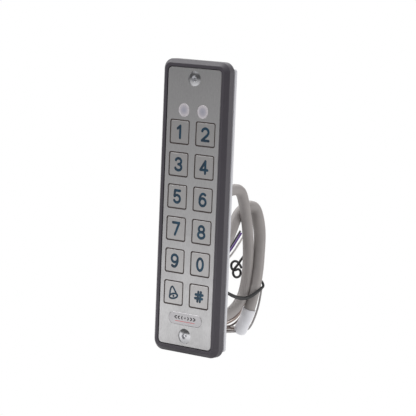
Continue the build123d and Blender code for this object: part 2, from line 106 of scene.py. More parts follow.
class Nodes:
    """Short way to put nodes in a tree: nodes(type, inputs by name or number, settings by name)."""

    def __init__(self, tree):
        self.tree = tree
        tree.nodes.clear()

    def __call__(self, kind, inputs=None, **settings):
        node = self.tree.nodes.new(kind)
        for key, value in settings.items():
            setattr(node, key, value)
        for key, value in (inputs or {}).items():
            if isinstance(value, bpy.types.NodeSocket):
                self.tree.links.new(value, node.inputs[key])
            else:
                node.inputs[key].default_value = value
        return node

    def math(self, operation, *values):
        """One step of arithmetic on values."""
        return self("ShaderNodeMath", dict(enumerate(values)), operation=operation).outputs[0]

    def weigh(self, first, second, first_share, second_share):
        """Sum of two values, each times its share."""
        first, second = self.math("MULTIPLY", first, first_share), self.math("MULTIPLY", second, second_share)
        return self.math("ADD", first, second)

    def ramp(self, factor, *stops):
        """Colour ramp through (place, colour) stops."""
        node = self("ShaderNodeValToRGB", {0: factor})
        points = node.color_ramp.elements
        while len(points) < len(stops):
            points.new(0.5)
        for point, (where, colour) in zip(points, stops):
            point.position, point.color = where, colour
        return node.outputs[0]

    def mix(self, factor, first, second):
        """Colour between two colours."""
        return self("ShaderNodeMix", {0: factor, 6: first, 7: second}, data_type="RGBA").outputs[2]

    def noise(self, where, scale, detail, **inputs):
        """Cloudy noise from 0 to 1."""
        return self("ShaderNodeTexNoise", {0: where, "Scale": scale, "Detail": detail, **inputs}).outputs[0]

    def span(self, value, low, high, to_low=0.0, to_high=1.0):
        """Value carried from one span to another, held at the ends."""
        node = self("ShaderNodeMapRange", {0: value, 1: low, 2: high, 3: to_low, 4: to_high})
        return node.outputs[0]


def grey(value):
    """Linear grey, which may be brighter than 1 for a light."""
    return (value, value, value, 1.0)


# ---- Studio: brightness by direction, and the spans of direction over which it changes ----
WORLD_UP_LEFT = 3.0
WORLD_UP_RIGHT = 0.9
WORLD_FRONT = 0.10
WORLD_RIGHT = 0.85
WORLD_LEFT = 0.60
LEFT_TO_RIGHT = (-0.6, 0.6)
LEFT_TO_RIGHT_ABOVE = (-0.5, 0.2)
FRONT_TO_BACK = (-0.35, 0.45)
LOW_TO_HIGH = (0.2, 0.75)


def add_world():
    """White to the camera; to the object a pale studio, dark in front and brightest at upper left."""
    world = bpy.data.worlds.new("studio")
    bpy.context.scene.world = world
    world.use_nodes = True
    n = Nodes(world.node_tree)
    way = n("ShaderNodeSeparateXYZ", {0: n("ShaderNodeTexCoord").outputs["Generated"]})
    across, deep, height = way.outputs
    back = n.mix(n.span(across, *LEFT_TO_RIGHT), grey(WORLD_LEFT), grey(WORLD_RIGHT))
    low = n.mix(n.span(deep, *FRONT_TO_BACK), grey(WORLD_FRONT), back)
    above = n.mix(n.span(across, *LEFT_TO_RIGHT_ABOVE), grey(WORLD_UP_LEFT), grey(WORLD_UP_RIGHT))
    around = n.mix(n.span(height, *LOW_TO_HIGH), low, above)
    seen = n("ShaderNodeLightPath").outputs["Is Camera Ray"]
    light = n("ShaderNodeBackground", {0: n.mix(seen, around, grey(1.0)), 1: 1.0})
    n("ShaderNodeOutputWorld", {0: light.outputs[0]})


FLOOR_REACH = 3.0
# Brightness of the floor by distance from the reader, in metres; the dim glow right by the reader is a painted
# contact shadow
FLOOR_GLOW = ((0.0, 0.40), (0.04, 1.12), (0.12, 1.22), (0.28, 0.92), (0.50, 0.60), (0.90, 0.40), (3.0, 0.08))
FLOOR_BEHIND = 0.95
FLOOR_TURN = (0.05, 0.45)  # where the floor grows even, going back
FLOOR_R = 6.0
FLOOR_SIDES = 96
FLOOR_DROP = 0.0002  # keeps the floor clear of the reader's lowest face


def add_floor():
    """Round white floor that lights the object from below by FLOOR_GLOW, and evenly behind it.

    Its rim is (cos(angle), sin(angle), 0) * radius.
    """
    turns = np.linspace(0, 2 * math.pi, FLOOR_SIDES, endpoint=False)
    rim = np.stack([np.cos(turns), np.sin(turns), 0 * turns], -1) * FLOOR_R
    mesh = bpy.data.meshes.new("floor")
    mesh.from_pydata(rim.tolist(), [], [list(range(FLOOR_SIDES))])
    floor = bpy.data.objects.new("floor", mesh)
    floor.location = (0, 0, -FLOOR_DROP)
    bpy.context.collection.objects.link(floor)
    material = bpy.data.materials.new("white_floor")
    material.use_nodes = True
    n = Nodes(material.node_tree)
    position = n("ShaderNodeTexCoord").outputs["Object"]
    away = n("ShaderNodeVectorMath", {0: position}, operation="LENGTH").outputs["Value"]
    stops = [(distance / FLOOR_REACH, grey(glow)) for distance, glow in FLOOR_GLOW]
    near = n.ramp(n.span(away, 0.0, FLOOR_REACH), *stops)
    behind = n.span(n("ShaderNodeSeparateXYZ", {0: position}).outputs[1], *FLOOR_TURN)
    lit = n.mix(behind, near, grey(FLOOR_BEHIND))
    seen = n("ShaderNodeLightPath").outputs["Is Camera Ray"]
    glow = n("ShaderNodeEmission", {0: n.mix(seen, lit, grey(1.0)), 1: 1.0})
    n("ShaderNodeOutputMaterial", {0: glow.outputs[0]})
    mesh.materials.append(material)


READER_MIDDLE = (0, 0, 0.07)


def add_light(name, where, size, watts):
    """Large soft light that points at the reader."""
    data = bpy.data.lights.new(name, "AREA")
    data.shape, data.size, data.size_y = "RECTANGLE", *size
    data.energy = watts
    light = bpy.data.objects.new(name, data)
    light.location = where
    light.rotation_euler = (Vector(READER_MIDDLE) - Vector(where)).to_track_quat("-Z", "Y").to_euler()
    light.visible_camera = False
    bpy.context.collection.objects.link(light)


# ---- Finishes: a grain is one over its size in metres ----
PLAIN_GRAIN = 1 / 0.00035
BRUSHED_GRAIN = 1 / 0.0005
MOULDED_GRAIN = 1 / 0.0004
BRUSHED = (1.0, 1.0, 0.35)  # draws the grain out upwards
FINE_SHARE = 0.6
BROAD_SHARE = 0.4
NOISE_SPAN = (0.3, 0.7)  # where nearly all of the noise lies
SHADED = 0.86  # the second colour, where none is given, as a share of the first


def start_material(name):
    """New material with an empty tree, and its Object coordinates."""
    material = bpy.data.materials.new(name)
    material.use_nodes = True
    n = Nodes(material.node_tree)
    return material, n, n("ShaderNodeTexCoord")


def end_material(n, **inputs):
    """Shader with these inputs, an underscore standing for a space in each name, joined to the output."""
    shader = n("ShaderNodeBsdfPrincipled", {key.replace("_", " "): value for key, value in inputs.items()})
    n("ShaderNodeOutputMaterial", {0: shader.outputs[0]})


def finish(name, colour, second=None, rough=(0.4, 0.5), metal=0.0, grain=PLAIN_GRAIN, stretch=(1, 1, 1),
           bump=0.1, bump_depth=0.00002, bevel=0.0, blotch=120.0):
    """Fine grain in the colour, gloss and relief, broad soft blotches, and rounded edges where asked."""
    material, n, coordinates = start_material(name)
    here = coordinates.outputs["Object"]
    drawn = n("ShaderNodeMapping", {0: here, 3: stretch}).outputs[0]
    fine = n.noise(drawn, grain, 4.0, Roughness=0.6)
    both = n.weigh(fine, n.noise(here, blotch, 2.0), FINE_SHARE, BROAD_SHARE)
    second = second or tuple(SHADED * v for v in colour[:3]) + (1.0,)
    base = n.ramp(both, (NOISE_SPAN[0], second), (NOISE_SPAN[1], colour))
    gloss = n.span(both, *NOISE_SPAN, rough[1], rough[0])
    normal = n("ShaderNodeBump", {"Height": fine, "Strength": bump, "Distance": bump_depth})
    if bevel:
        soft_edge = n("ShaderNodeBevel", {"Radius": bevel}, samples=4)
        n.tree.links.new(soft_edge.outputs[0], normal.inputs["Normal"])
    end_material(n, Base_Color=base, Roughness=gloss, Normal=normal.outputs[0], Metallic=metal)
    return material


def dress(material, *names):
    """Gives a material to CAD nodes."""
    for name in names:
        slots = NODES[name].data.materials
        for i in range(len(slots)):
            slots[i] = material
        if not slots:
            slots.append(material)


PLATE = finish("satin_steel", tone(206, 205, 206), tone(186, 185, 186), rough=(0.30, 0.42), metal=1.0,
               grain=BRUSHED_GRAIN, stretch=BRUSHED, bump_depth=0.00001, bevel=0.00006)
KEY = finish("satin_key", tone(197, 195, 195), tone(185, 183, 183), rough=(0.32, 0.42), metal=1.0,
             grain=BRUSHED_GRAIN, stretch=BRUSHED, bump_depth=0.00001, bevel=0.00003)
BEZEL = finish("dark_moulding", tone(66, 62, 69), tone(58, 54, 61), rough=(0.38, 0.5),
               grain=MOULDED_GRAIN, bump=0.25, bump_depth=0.00003, bevel=0.00025)
COVER = finish("pale_moulding", tone(198, 198, 202), tone(190, 190, 195), rough=(0.34, 0.46),
               grain=BRUSHED_GRAIN, bump=0.2, bevel=0.0002)
BADGE = finish("badge_face", tone(186, 184, 186), tone(172, 170, 173), rough=(0.22, 0.30), metal=1.0,
               bump=0.05, bevel=0.00005)
SCREW = finish("polished_screw", tone(214, 214, 217), tone(196, 196, 200), rough=(0.12, 0.20), metal=1.0,
               bump=0.04, bevel=0.0001)
BLACK_RUBBER = finish("black_rubber", tone(44, 42, 45), rough=(0.5, 0.65), bump=0.3, bevel=0.0002)
# Dark brown of the rings in the key gaps: painted shade of the gaps
KEY_GAP_SHADE = finish("key_gap_shade", tone(58, 48, 46), rough=(0.6, 0.75), bump=0.2)
GREY_RUBBER = finish("grey_rubber", tone(92, 90, 93), rough=(0.45, 0.6), bump=0.3, bevel=0.0003)
DARK_PLASTIC = finish("dark_plastic", tone(52, 52, 56), rough=(0.4, 0.55), bump=0.2)
FILM = finish("clear_film", tone(196, 200, 190), rough=(0.2, 0.3))
DOME = finish("dome_steel", tone(210, 206, 196), rough=(0.15, 0.25), metal=1.0, bump=0.05)
LED = finish("lamp_body", tone(232, 230, 214), rough=(0.25, 0.35), bump=0.05)
BOARD = finish("board_green", tone(24, 86, 52), tone(18, 70, 44), rough=(0.28, 0.4), bump=0.3, blotch=700.0)
COPPER = finish("wound_copper", tone(190, 110, 70), tone(160, 86, 54), rough=(0.25, 0.35), metal=1.0,
                bump=0.4)
CHIP = finish("chip_black", tone(34, 34, 37), rough=(0.5, 0.6), bump=0.3)
CAN = finish("can_aluminium", tone(200, 200, 204), rough=(0.25, 0.35), metal=1.0)
CLEAR = finish("smoked_window", tone(60, 40, 44), rough=(0.08, 0.14), bump=0.02)

WINDOW_R = 0.0036
WINDOW_CLOUD = 900.0
CLOUD_SHARE = 0.12
# Tones of the window from its middle to its edge: painted shade in the middle, painted highlight at the edge
WINDOW_SHADE_AND_GLOW_TONES = ((0.05, tone(148, 149, 160)), (0.45, tone(164, 161, 170)), (0.72, tone(181, 177, 182)),
                (0.95, tone(192, 188, 191)))


def frosted_painted_light():
    """Milky window: a painted highlight makes it paler round its edge, and painted shade makes it slightly
    darker where the lamp stands behind it.

    The tone runs with the distance from the window's middle; left and right are alike, so the place across is
    measured without its sign.
    """
    material, n, coordinates = start_material("frosted_window_painted_light")
    here = coordinates.outputs["Object"]
    low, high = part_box("light_window_right")
    parts = n("ShaderNodeSeparateXYZ", {0: here})
    across = n.math("SUBTRACT", n.math("ABSOLUTE", parts.outputs[0]), (low[0] + high[0]) / 2)
    rise = n.math("SUBTRACT", parts.outputs[2], (low[2] + high[2]) / 2)
    out = n.math("SQRT", n.math("ADD", n.math("MULTIPLY", across, across), n.math("MULTIPLY", rise, rise)))
    cloud = n.noise(here, WINDOW_CLOUD, 3.0)
    cloudy = n.math("MULTIPLY", n.math("SUBTRACT", cloud, 0.5), CLOUD_SHARE)
    ring = n.math("ADD", n.span(out, 0.0, WINDOW_R), cloudy)
    bump = n("ShaderNodeBump", {"Height": cloud, "Strength": 0.2, "Distance": 0.00003})
    end_material(n, Base_Color=n.ramp(ring, *WINDOW_SHADE_AND_GLOW_TONES), Roughness=0.45, Normal=bump.outputs[0],
                 Subsurface_Weight=0.3, Subsurface_Radius=(0.001, 0.001, 0.001), Subsurface_Scale=1.0)
    return material


SKIN_CREASES = (40.0, 5.0, 1.0)  # UV scale that draws noise out into creases along the cable
SKIN_GRAIN = 2600.0
SKIN_SMUDGE = 110.0
SKIN_TINT = (0.7, 0.3)  # shares of smudge and grain in the colour
SKIN_SPAN = (0.35, 0.65)
SKIN_RELIEF = (0.35, 0.12)  # shares of creases and grain in the relief


def vinyl(name, colour, second, rough=(0.34, 0.46), coat=0.15):
    """Soft cable skin: long faint creases along the cable, a fine grain and slight smudges."""
    material, n, coordinates = start_material(name)
    here = coordinates.outputs["Object"]
    wrapped = n("ShaderNodeMapping", {0: coordinates.outputs["UV"], 3: SKIN_CREASES}).outputs[0]
    creases = n.noise(wrapped, 1.0, 3.0)
    grain = n.noise(here, SKIN_GRAIN, 3.0)
    smudge = n.noise(here, SKIN_SMUDGE, 3.0)
    tinted = n.weigh(smudge, grain, *SKIN_TINT)
    base = n.ramp(tinted, (SKIN_SPAN[0], second), (SKIN_SPAN[1], colour))
    relief = n.weigh(creases, grain, *SKIN_RELIEF)
    bump = n("ShaderNodeBump", {"Height": relief, "Strength": 0.35, "Distance": 0.0002})
    end_material(n, Base_Color=base, Roughness=n.span(smudge, *NOISE_SPAN, *rough), Normal=bump.outputs[0],
                 Coat_Weight=coat, Coat_Roughness=0.3)
    return material


JACKET = vinyl("grey_jacket", tone(149, 144, 142), tone(140, 135, 133), rough=(0.46, 0.56), coat=0.0)
SLEEVE = vinyl("white_sleeve", tone(208, 208, 212), tone(199, 199, 204), rough=(0.3, 0.4))
TIE = vinyl("black_tie", tone(18, 17, 20), tone(13, 12, 15), rough=(0.4, 0.5), coat=0.0)
WIRE_SKINS = {
    "black": vinyl("wire_black", tone(46, 44, 48), tone(38, 36, 40)),
    "purple": vinyl("wire_purple", tone(104, 64, 150), tone(90, 52, 132)),
    "white": vinyl("wire_white", tone(226, 222, 218), tone(214, 210, 206)),
    "brown": vinyl("wire_brown", tone(120, 104, 98), tone(102, 88, 84)),
    "grey": vinyl("wire_grey", tone(150, 146, 146), tone(136, 132, 132)),
    "pale": vinyl("wire_pale", tone(214, 208, 204), tone(200, 194, 190)),
    "tan": vinyl("wire_tan", tone(168, 150, 138), tone(150, 132, 122)),
    "umber": vinyl("wire_umber", tone(96, 80, 76), tone(82, 68, 66)),
}


def ink():
    """Printed blue-black of the keys, a little more teal in places."""
    return finish("key_ink", tone(10, 64, 88), tone(16, 26, 40), rough=(0.3, 0.4), grain=420.0, bump=0.02,
                  blotch=260.0)


# ---- Cords ----
def curve_through(name, points, diameter, material, smooth=12):
    """Round cord whose centreline is one smooth spline with these points as its control points."""
    data = bpy.data.curves.new(name, "CURVE")
    data.dimensions = "3D"
    data.resolution_u = smooth
    data.bevel_depth = diameter / 2
    data.bevel_resolution = 5
    data.use_fill_caps = True
    spline = data.splines.new("NURBS")
    spline.points.add(len(points) - 1)
    spline.points.foreach_set("co", np.column_stack([points, np.ones(len(points))]).ravel())
    spline.order_u = 3
    spline.use_endpoint_u = True
    piece = bpy.data.objects.new(name, data)
    bpy.context.collection.objects.link(piece)
    data.materials.append(material)
    return piece


def centreline(piece):
    """Points along a cord's own spline, read from the curve with no bevel."""
    bare = piece.copy()
    bare.data = piece.data.copy()
    bare.data.bevel_depth = 0
    bpy.context.collection.objects.link(bare)
    bpy.context.view_layer.update()
    mesh = bpy.data.meshes.new_from_object(bare.evaluated_get(bpy.context.evaluated_depsgraph_get()))
    line = np.zeros(len(mesh.vertices) * 3)
    mesh.vertices.foreach_get("co", line)
    bpy.data.objects.remove(bare)
    bpy.data.meshes.remove(mesh)
    return line.reshape(-1, 3)


def length_of(line):
    """Length of a line of points: the sum of the distances from each to the next."""
    return float(np.linalg.norm(np.diff(line, axis=0), axis=1).sum())


# Cable: out of the back, down and forward under itself, up and back, over the top and down to the sleeve
COIL_ROUTE = [
    (0.0, -1.7, 80.8), (0.0, 8.0, 80.8), (0.0, 18.0, 81.0), (0.0, 26.0, 81.9), (0.0, 30.2, 82.2),
    (0.1, 33.6, 81.2), (0.1, 35.8, 78.6), (0.2, 37.1, 75.2), (0.2, 38.2, 72.0), (0.2, 39.3, 68.3),
    (0.3, 40.9, 62.9), (0.4, 41.9, 56.4), (0.5, 42.6, 49.5), (0.6, 42.7, 42.6), (0.7, 42.3, 36.2),
    (0.8, 40.9, 30.2), (0.9, 38.9, 25.3), (1.0, 35.4, 21.3), (1.1, 30.4, 18.2), (1.2, 25.4, 16.6),
    (1.3, 20.3, 16.0), (1.3, 15.0, 17.6), (1.2, 11.0, 21.4), (0.9, 8.8, 26.0), (0.5, 8.2, 31.0),
    (0.0, 9.8, 36.6), (-0.8, 14.6, 43.0), (-1.8, 21.2, 49.2), (-3.0, 29.0, 55.6), (-3.8, 33.2, 60.0),
    (-4.6, 36.8, 64.6), (-5.2, 40.2, 68.0), (-5.2, 43.8, 70.2), (-4.6, 46.6, 71.3), (-3.8, 49.2, 71.4),
    (-3.2, 51.7, 70.1), (-2.4, 52.5, 67.4), (-1.0, 52.1, 64.4), (0.4, 51.5, 60.9), (1.8, 50.5, 56.3),
    (3.0, 49.0, 51.3), (4.0, 47.6, 46.2), (4.6, 46.7, 41.1), (5.0, 45.4, 35.9), (5.1, 44.2, 30.7),
    (5.0, 42.8, 25.7), (4.7, 41.5, 21.3), (3.6, 41.2, 17.5), (1.6, 41.5, 13.2), (-0.8, 42.2, 8.9),
    (-2.3, 42.8, 6.4),
]
# Thickness at each point of a route, as a share of the diameter
COIL_GIRTH = [1.0] * 33 + [1.05, 1.10, 1.14, 1.15, 1.15, 1.13, 1.10, 1.07, 1.03] + [1.0] * 9
# Twist tie: a curl, then forward along the coil's left side, round its front and back along its right side
TIE_ROUTE = [
    (-7.8, 48.3, 38.1), (-7.6, 45.8, 41.1), (-7.4, 41.5, 42.7), (-7.2, 38.2, 41.4), (-7.0, 38.6, 38.5),
    (-6.8, 41.2, 37.4), (-6.6, 44.4, 38.2), (-6.4, 46.3, 36.2), (-6.2, 45.0, 33.9), (-6.0, 41.1, 33.7),
    (-5.8, 38.3, 35.9), (-5.6, 38.5, 38.3), (-5.2, 40.2, 39.8), (-4.8, 42.0, 41.7), (-4.4, 43.6, 43.7),
    (-4.0, 45.7, 45.7), (-3.9, 47.0, 44.4), (-3.4, 48.9, 40.0), (-1.8, 49.0, 35.0), (-0.6, 47.4, 28.6),
    (-2.6, 45.6, 23.6), (-3.6, 40.0, 23.6), (-3.5, 36.3, 25.1), (-3.4, 33.1, 26.4), (-3.2, 24.0, 27.8),
    (-3.0, 14.0, 29.6), (-2.2, 6.2, 30.2), (1.0, 4.6, 30.4), (4.4, 6.4, 31.6), (4.9, 12.0, 32.4),
    (5.0, 17.2, 31.0), (5.2, 21.7, 28.4), (5.4, 27.2, 26.3), (5.8, 32.8, 25.0), (7.0, 36.5, 25.5),
    (8.2, 40.5, 27.4), (8.2, 44.6, 29.2), (7.8, 48.4, 30.7), (7.0, 46.6, 33.2),
]
TIE_GIRTH = [0.88] * 30 + [0.9, 1.15, 1.3, 1.3, 1.3, 1.2, 1.0, 0.9, 0.8]
# Wires: forward under the coil, then up and back beside it
LOW_ROUTE = [
    (-2.6, 42.9, 6.4), (-4.2, 43.4, 5.8), (-6.5, 41.4, 6.4), (-9.2, 34.6, 7.2), (-11.4, 22.0, 7.0),
    (-12.2, 10.0, 8.4), (-12.4, 6.8, 13.0), (-12.2, 7.6, 22.0), (-11.6, 13.0, 31.0), (-11.2, 25.0, 38.4),
    (-11.0, 37.5, 44.6), (-11.0, 42.0, 47.6), (-11.0, 46.3, 51.4), (-11.0, 51.3, 56.4),
]
# Wires: forward, round and back under the coil, then up behind it
FAN_ROUTE = [
    (-2.6, 42.9, 6.4), (-4.2, 43.4, 5.8), (-6.8, 41.0, 6.4), (-9.2, 32.0, 6.8), (-10.0, 20.0, 6.6),
    (-9.6, 12.0, 7.2), (-8.4, 9.6, 8.8), (-7.0, 12.0, 10.4), (-6.2, 22.0, 9.9), (-6.0, 32.0, 9.8),
    (-6.0, 38.0, 10.4), (-6.0, 43.6, 11.9), (-5.5, 47.9, 16.1), (-4.0, 50.0, 20.9), (-3.0, 51.2, 26.0),
]
# Wire: forward, round and back, then up behind the sleeve
SIDE_ROUTE = [
    (-2.6, 42.9, 6.4), (-4.6, 43.6, 5.4), (-7.6, 41.0, 6.0), (-9.6, 33.0, 6.2), (-9.8, 25.0, 6.4),
    (-8.4, 21.4, 6.6), (-6.4, 24.0, 6.4), (-4.8, 34.0, 5.6), (-3.4, 43.4, 5.0), (-1.6, 47.7, 5.4),
    (-0.8, 50.1, 8.1), (-0.2, 52.5, 13.0), (0.2, 54.1, 17.8), (0.5, 55.0, 22.6), (0.5, 55.9, 27.3),
]
# Wires: colour, route, length in metres, shift at the sleeve and shift at the far end
WIRES = (
    ("black", LOW_ROUTE, 0.109, (0.9, 0.3, 0.5), (0.0, -1.1, 0.9)),
    ("purple", LOW_ROUTE, 0.109, (-0.5, 0.9, 0.4), (-0.4, 0.4, -0.4)),
    ("white", LOW_ROUTE, 0.109, (-1.0, -0.4, -0.2), (0.6, 1.9, -1.3)),
    ("pale", FAN_ROUTE, 0.090, (0.1, -1.0, 0.1), (1.6, -1.2, 3.6)),
    ("brown", FAN_ROUTE, 0.090, (1.0, -0.8, 0.0), (0.4, -0.6, 1.3)),
    ("tan", FAN_ROUTE, 0.090, (0.2, 0.2, 0.1), (-0.6, 0.5, -0.4)),
    ("umber", FAN_ROUTE, 0.090, (-0.5, 0.1, 0.0), (-0.4, 1.0, -2.4)),
    ("grey", SIDE_ROUTE, 0.079, (0.6, 1.0, 0.2), (0.0, 0.0, 0.0)),
)
WIRE_START = (1.2, -0.3, 2.2)  # from the sleeve's end up into it
WIRE_SPREAD = (0.2, 1.8)  # the far end's shift, from the first point to the last, never over 1

# Tubes carried along a line: metres each way from a place for its tangent, and the direction that sets its side
FRAME_STEP = 0.0004
FRAME_ACROSS = (0.0, 1.0, 0.15)

# Sleeve, in metres; a place and a width are shares of its length
SLEEVE_ROWS = 41
SLEEVE_SIDES = 40
SLEEVE_PAST = 0.0012  # how far the sleeve goes past the cable's end
SLEEVE_AHEAD = 0.004  # straight line added for it beyond the cable's end
SLEEVE_WAIST = 0.00007
SLEEVE_WAVE = 9.0
SLEEVE_BEAD = (0.00010, 0.02, 0.05)  # height, place, width
SLEEVE_TUCK = (-0.00012, 1.0, 0.04)
LIP_ROWS = 9
LIP_IN = 0.0001  # how far each lip is drawn in from its wall


def carry(profile, line, sides):
    """Closed tube: a profile of (place along the line, distance from it) turned about a line.

    The tangent at a place is the line just after it less the line just before it. The side is the cross product
    of the tangent with a fixed direction, and over is that of the tangent with the side. The point at an angle
    is centre + distance * (side * cos(angle) + over * sin(angle)). Gives the points, ring by ring, and the faces
    between them, with the last ring joined to the first.
    """
    reach = np.concatenate([[0], np.cumsum(np.linalg.norm(np.diff(line, axis=0), axis=1))])
    where = np.clip(profile[:, 0], 0, reach[-1])
    centre = points_at(where, reach, line)
    ahead = points_at(np.minimum(where + FRAME_STEP, reach[-1]), reach, line)
    behind = points_at(np.maximum(where - FRAME_STEP, 0), reach, line)
    tangent = unit(ahead - behind)
    side = unit(np.cross(tangent, FRAME_ACROSS))
    over = np.cross(tangent, side)
    turn = np.linspace(0, 2 * math.pi, sides, endpoint=False)
    ring = side[:, None] * np.cos(turn)[None, :, None] + over[:, None] * np.sin(turn)[None, :, None]
    points = (centre[:, None] + ring * profile[:, 1][:, None, None]).reshape(-1, 3)
    return points, grid_faces(len(profile), sides, True, True)


def points_at(where, reach, line):
    """Points of a line at these distances along it, straight between its own points at reach."""
    return np.stack([np.interp(where, reach, line[:, k]) for k in range(3)], -1)


def unit(vectors):
    """Vectors over their own lengths."""
    return vectors / np.linalg.norm(vectors, axis=1)[:, None]


def grid_faces(rows, columns, close_rows, close_columns):
    """Four-sided faces of a grid of points numbered row by row: two neighbours, and the same two a row on."""
    last_row = rows if close_rows else rows - 1
    last_column = columns if close_columns else columns - 1
    i, j = np.meshgrid(np.arange(last_row), np.arange(last_column), indexing="ij")
    i2, j2 = (i + 1) % rows, (j + 1) % columns
    corners = [i * columns + j, i * columns + j2, i2 * columns + j2, i2 * columns + j]
    return np.stack(corners, -1).reshape(-1, 4)


def add_mesh(name, points, faces, material, smooth=True):
    """Piece of these points and faces, its faces turned outwards."""
    mesh = bpy.data.meshes.new(name)
    mesh.from_pydata(points.tolist(), [], faces.tolist())
    mesh.polygons.foreach_set("use_smooth", np.full(len(mesh.polygons), smooth))
    work = bmesh.new()
    work.from_mesh(mesh)
    bmesh.ops.recalc_face_normals(work, faces=work.faces)
    work.to_mesh(mesh)
    work.free()
    mesh.materials.append(material)
    piece = bpy.data.objects.new(name, mesh)
    bpy.context.collection.objects.link(piece)
    return piece


def swell_at(along, height, middle, width):
    """Soft rise at one place: height * exp(-((along - middle) / width) squared)."""
    return height * np.exp(-((along - middle) / width) ** 2)


def add_sleeve(line):
    """White sleeve shrunk over the cable's end, as one closed profile carried along the cable's line.

    The outer wall is the sleeve's radius + waist * sin(wave * along), with a bead near its top and a tuck at its
    end. The inner wall is the cable's radius. Each lip is half a circle from one wall to the other.
    """
    start = length_of(line) - SLEEVE_LENGTH * MM
    length = SLEEVE_LENGTH * MM + SLEEVE_PAST
    inner_r, outer_r = CABLE_D / 2 * MM, SLEEVE_R * MM
    wall = outer_r - inner_r
    along = np.linspace(0, 1, SLEEVE_ROWS)
    outer = outer_r + SLEEVE_WAIST * np.sin(along * SLEEVE_WAVE)
    outer = outer + swell_at(along, *SLEEVE_BEAD) + swell_at(along, *SLEEVE_TUCK)
    lip = np.linspace(0, math.pi, LIP_ROWS)[1:-1]
    outside = np.stack([start + along * length, outer], -1)
    far_r = outer_r - wall / 2 + wall / 2 * np.cos(lip) - LIP_IN
    far_lip = np.stack([start + length + wall / 2 * np.sin(lip), far_r], -1)
    inside = np.stack([start + along[::-1] * length, np.full(SLEEVE_ROWS, inner_r)], -1)
    near_r = inner_r + wall / 2 - wall / 2 * np.cos(lip) + LIP_IN
    near_lip = np.stack([start - wall / 2 * np.sin(lip), near_r], -1)
    longer = np.vstack([line, line[-1] + unit(line[-1:] - line[-2:-1]) * SLEEVE_AHEAD])
    points, faces = carry(np.vstack([outside, far_lip, inside, near_lip]), longer, SLEEVE_SIDES)
    return add_mesh("end_sleeve", points, faces, SLEEVE)


def add_cable():
    """Jacketed cable from the back of the reader through its coil, with the sleeve on its end."""
    cable = curve_through("reader_cable", place(COIL_ROUTE), CABLE_D * MM, JACKET)
    cable.data.splines[0].points.foreach_set("radius", COIL_GIRTH)
    sleeve = add_sleeve(centreline(cable))
    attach(cable, READER)
    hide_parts("cable_lead", "cable_coil")
    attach(sleeve, READER)
    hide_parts("cable_sleeve")


def add_wires():
    """Eight thin wires that leave the sleeve side by side and fan out along three routes.

    Each point is its route's point + the far end's shift times a share that grows from point to point. The first
    two are held by the sleeve: they take the shift at the sleeve, and the first starts inside it.
    """
    for colour, route, length, shift_at_sleeve, shift_at_end in WIRES:
        share = np.clip(np.linspace(*WIRE_SPREAD, len(route)), 0, 1)[:, None]
        path = np.array(route) + share * np.array(shift_at_end)
        path[:2] = np.array(route[:2]) + np.array(shift_at_sleeve)
        path[0] += np.array(WIRE_START)
        wire = curve_through(f"wire_{colour}", place(path), WIRE_D * MM, WIRE_SKINS[colour], smooth=10)
        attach(wire, READER)
        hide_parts("lead_bundle")


def add_tie():
    """Black twist tie round the coil, thicker on its front run, with a curl at each end."""
    tie = curve_through("twist_tie", place(TIE_ROUTE), TIE_D * MM, TIE, smooth=10)
    tie.data.splines[0].points.foreach_set("radius", TIE_GIRTH)
    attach(tie, READER)
    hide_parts("cable_tie")


# ---- Printing on the keys and the badge, in millimetres ----
DIGIT_TALL = 6.1
STROKE = 1.46
PRINT_THICK = 0.03
PRINT_SINK = 0.004  # how far the middle of a stroke lies behind the face
CROSSING_LIFT = 0.1  # each stroke's added thickness, so that crossing strokes share no face
STROKE_SIDES = 12
CAP_STEPS = 6
SAME_POINT = 0.0001
CLOSED_GAP = 0.02
LEAST_SWELL = 0.02
BELL_STROKE = 1.02
BELL_TURN = 14  # degrees
BELL_MOUTH = (0.02, -0.28)


def arc(x, y, rx, ry, start, end, steps=24):
    """Points (x + rx * cos(angle), y + ry * sin(angle)), angles in degrees from the right, turning left."""
    a = np.radians(np.linspace(start, end, steps))
    return np.stack([x + rx * np.cos(a), y + ry * np.sin(a)], -1)


def run(*points):
    """Straight runs through these points."""
    return np.array(points, float)


SIX = np.vstack([arc(0.05, -0.06, 0.37, 0.56, 58, 176, 22), arc(0, -0.19, 0.32, 0.31, 166, 526, 36)])
# Strokes of each key's mark, one unit tall about its middle; the bell's are its body, mouth and clapper
SYMBOLS = {
    "1": [run((-0.20, 0.28), (0.06, 0.5)), run((0.06, 0.5), (0.06, -0.5))],
    "2": [np.vstack([arc(0, 0.20, 0.33, 0.30, 165, -18, 22), run((0.20, -0.06), (-0.33, -0.5))]),
          run((-0.33, -0.5), (0.36, -0.5))],
    "3": [arc(0, 0.25, 0.29, 0.25, 160, -90, 22), arc(0, -0.245, 0.33, 0.255, 90, -160, 24)],
    "4": [run((0.14, -0.5), (0.14, 0.5)), run((0.14, 0.5), (-0.36, -0.22)),
          run((-0.36, -0.22), (0.36, -0.22))],
    "5": [run((0.28, 0.5), (-0.24, 0.5)), run((-0.24, 0.5), (-0.29, 0.04)),
          arc(-0.01, -0.19, 0.32, 0.31, 138, -152, 28)],
    "6": [SIX],
    "7": [run((-0.33, 0.5), (0.33, 0.5)), run((0.33, 0.5), (-0.08, -0.5))],
    "8": [arc(0, 0.25, 0.27, 0.25, -90, 270, 32), arc(0, -0.24, 0.33, 0.26, 90, 450, 32)],
    "9": [-SIX],
    "0": [arc(0, 0, 0.30, 0.5, 90, 450, 44)],
    "hash": [run((-0.13, -0.40), (-0.05, 0.40)), run((0.13, -0.40), (0.21, 0.40)),
             run((-0.33, 0.16), (0.40, 0.16)), run((-0.37, -0.15), (0.36, -0.15))],
    "bell": [run((-0.40, -0.34), (-0.36, -0.05), (-0.34, 0.16), (-0.29, 0.34), (-0.20, 0.47), (-0.12, 0.52),
                 (-0.03, 0.44), (0.10, 0.28), (0.22, 0.08), (0.38, -0.14)),
             arc(0, 0, 0.44, 0.20, 0, 360, 44), arc(0, 0, 0.035, 0.02, 0, 360, 8)],
}


